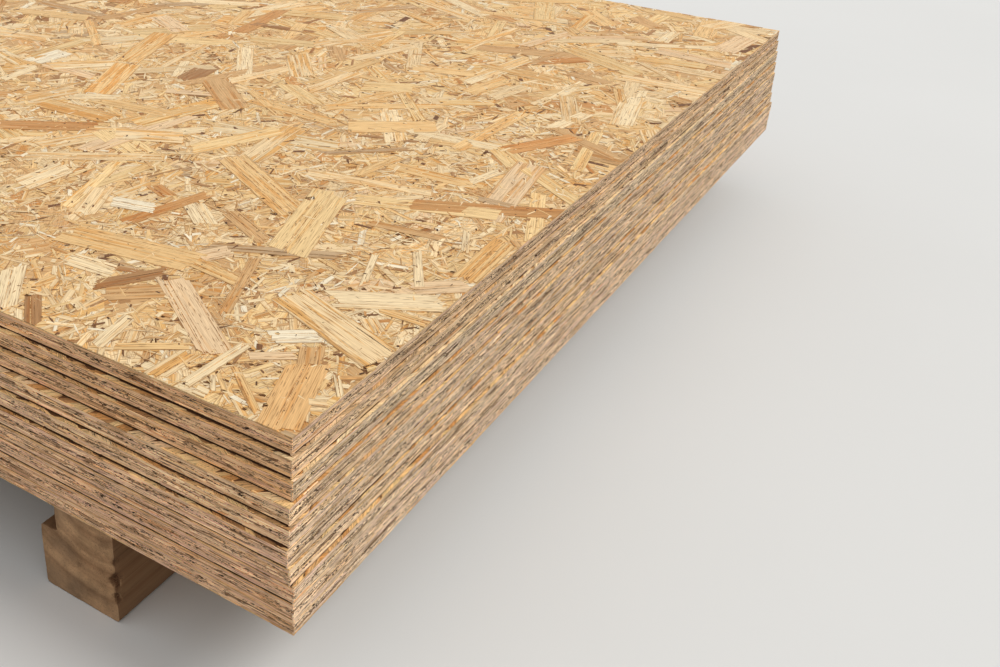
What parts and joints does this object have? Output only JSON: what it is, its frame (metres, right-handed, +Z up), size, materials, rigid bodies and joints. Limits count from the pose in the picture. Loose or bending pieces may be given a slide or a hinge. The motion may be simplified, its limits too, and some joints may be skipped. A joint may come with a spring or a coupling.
{
  "type": "stack of oriented strand board panels",
  "caption": "Stack of flat oriented strand board panels laid unevenly one on another, on sawn timber bearers that keep it off the floor.",
  "frame": {"origin": "on the floor, at the middle of the stack's outline in plan", "axes": "+X along the panels towards the near, uneven end, +Y across the panels towards the far side, +Z up from the floor"},
  "size_m": [2.4536, 1.2374, 0.24],
  "materials": {
    "panel": "pressed strands, waxy and slightly glossy, with rough sawn edges",
    "bearer": "rough sawn, weathered and matt"
  },
  "bodies": {
    "root": {"panel_01": "panel", "panel_02": "panel", "panel_03": "panel", "panel_04": "panel", "panel_05": "panel", "panel_06": "panel", "panel_07": "panel", "panel_08": "panel", "panel_09": "panel", "panel_10": "panel", "bearer_1": "bearer", "bearer_2": "bearer", "bearer_3": "bearer", "bearer_4": "bearer"}
  },
  "joints": []
}
